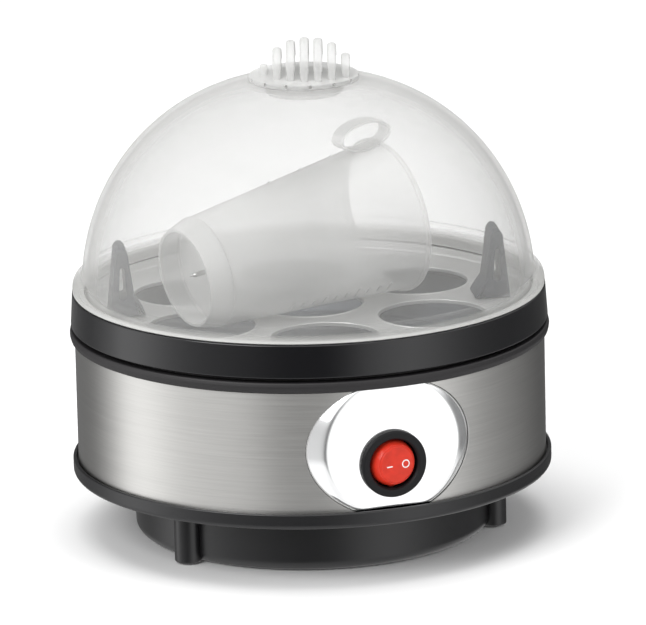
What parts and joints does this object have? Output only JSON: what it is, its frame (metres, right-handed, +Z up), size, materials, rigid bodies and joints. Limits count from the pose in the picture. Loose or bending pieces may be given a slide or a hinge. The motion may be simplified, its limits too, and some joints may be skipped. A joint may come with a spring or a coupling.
{
  "type": "egg cooker",
  "caption": "Round electric egg cooker: black base with a steel band and a round rocker switch, perforated tray, frosted domed lid with a finned vent knob, and a measuring cup lying inside.",
  "frame": {"origin": "on the round body's axis, at the surface that the rubber feet stand on", "axes": "+Z up; -Y towards the front, where the rocker switch is; +X to the right as seen from the front"},
  "size_m": [0.1738, 0.1745, 0.1821],
  "materials": {
    "black_shell": "satin, fine grain",
    "gloss_ring": "gloss",
    "steel_band": "brushed round the body",
    "chrome_plate": "mirror",
    "switch_black": "satin",
    "switch_red": "translucent gloss",
    "tray_metal": "satin",
    "handle_black": "satin",
    "lid_frosted": "frosted plastic, translucent",
    "cup_frosted": "frosted plastic, translucent",
    "pin_steel": "polished",
    "plate_metal": "satin",
    "inner_steel": "zinc plated",
    "rubber": "matt",
    "silicone": "matt",
    "brass": "plain",
    "ceramic": "matt",
    "phenolic": "satin",
    "wire_black": "satin",
    "wire_brown": "satin",
    "wire_green": "satin",
    "lamp_glass": "clear"
  },
  "bodies": {
    "base": {"base_housing": "black_shell", "cord_gland": "rubber", "steel_band": "steel_band", "collar": "black_shell", "upper_ring": "gloss_ring", "heating_plate": "plate_metal", "plate_gasket": "silicone", "heating_element": "inner_steel", "element_clamp": "inner_steel", "clamp_stud": "inner_steel", "clamp_nut": "inner_steel", "thermostat": "phenolic", "thermal_fuse": "inner_steel", "earth_tab": "brass", "terminal_block": "ceramic", "wire_live": "wire_black", "wire_switched": "wire_black", "wire_neutral": "wire_brown", "wire_element": "wire_brown", "wire_earth": "wire_green", "switch_escutcheon": "chrome_plate", "switch_housing": "switch_black", "indicator_lamp": "lamp_glass", "rubber_foot_1": "rubber", "switch_terminal_1": "brass", "rubber_foot_2": "rubber", "switch_terminal_2": "brass", "rubber_foot_3": "rubber", "switch_terminal_3": "brass", "housing_screw_1": "inner_steel", "housing_screw_2": "inner_steel", "housing_screw_3": "inner_steel", "housing_screw_4": "inner_steel"},
    "lid": {"lid_dome": "lid_frosted", "vent_knob": "lid_frosted"},
    "tray": {"egg_tray": "tray_metal", "tray_handle_left": "handle_black", "tray_handle_right": "handle_black"},
    "cup": {"measuring_cup": "cup_frosted", "piercing_pin": "pin_steel"},
    "rocker": {"switch_rocker": "switch_red"}
  },
  "joints": [
    {"name": "lid_lift", "type": "slide", "parent": "base", "child": "lid", "axis": [0, 0, 1], "range_m": [0, 0.16]},
    {"name": "tray_lift", "type": "slide", "parent": "base", "child": "tray", "axis": [0, 0, 1], "range_m": [0, 0.04]},
    {"name": "cup_lift", "type": "slide", "parent": "tray", "child": "cup", "axis": [0, 0, 1], "range_m": [0, 0.032]},
    {"name": "rocker_tilt", "type": "hinge", "parent": "base", "child": "rocker", "pos_m": [0, -0.0816, 0.0441], "axis": [0, 0, -1], "range_deg": [0, 18]}
  ],
  "couplings": [
    {"joint": "tray_lift", "follows": "lid_lift", "ratio": 0.25},
    {"joint": "cup_lift", "follows": "lid_lift", "ratio": 0.2}
  ]
}
